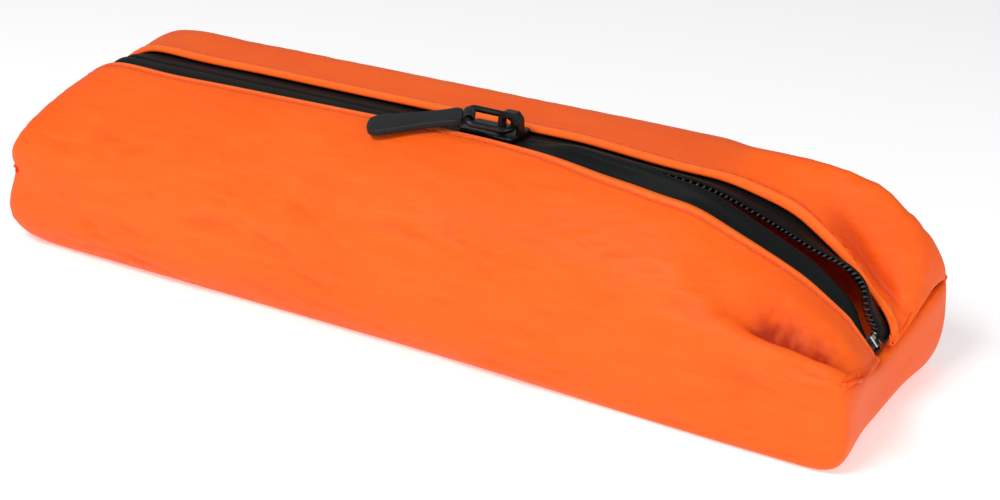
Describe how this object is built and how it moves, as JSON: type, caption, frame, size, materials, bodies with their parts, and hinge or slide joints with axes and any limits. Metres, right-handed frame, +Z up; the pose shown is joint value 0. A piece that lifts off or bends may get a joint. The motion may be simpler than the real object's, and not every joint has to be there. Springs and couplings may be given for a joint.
{
  "type": "pencil case",
  "caption": "Long soft leather pencil case with boxed ends and a zip along the top, shown part open, with a slider, link and pull tab that move.",
  "frame": {"origin": "middle of the footprint, on the surface that the case stands on", "axes": "+X along the case towards the open end, +Y to the back, +Z up"},
  "size_m": [0.21, 0.06, 0.048],
  "materials": {
    "leather": "soft orange nappa, fine creases, semi-matt",
    "zip_tape": "black woven tape with a faint sheen",
    "zip_coil": "black nylon coil",
    "stop_metal": "bright pressed stop",
    "thread": "tone on tone stitching thread",
    "slider_metal": "dark gunmetal, worn bright on its edges",
    "tab_finish": "matt dark grey enamel"
  },
  "bodies": {
    "case": {"leather_wrap": "leather", "zip_tape_front": "zip_tape", "zip_tape_back": "zip_tape", "zip_coil_front": "zip_coil", "zip_coil_back": "zip_coil", "bottom_stop": "stop_metal", "top_stop_front": "stop_metal", "top_stop_back": "stop_metal", "front_topstitch": "thread", "back_topstitch": "thread"},
    "slider": {"slider_body": "slider_metal"},
    "pull_link": {"pull_link": "slider_metal"},
    "pull_tab": {"pull_tab": "tab_finish"}
  },
  "joints": [
    {"name": "slider_travel", "type": "slide", "parent": "case", "child": "slider", "axis": [1, 0, 0], "range_m": [-0.09, 0]},
    {"name": "link_flip", "type": "hinge", "parent": "slider", "child": "pull_link", "pos_m": [0.0163, 0, 0.0447], "axis": [-0.3963, 0.895, 0.2048], "range_deg": [0, 130]},
    {"name": "tab_flip", "type": "hinge", "parent": "pull_link", "child": "pull_tab", "pos_m": [0.0078, -0.00414, 0.04637], "axis": [-0.3963, 0.895, 0.2048], "range_deg": [0, 35]}
  ]
}
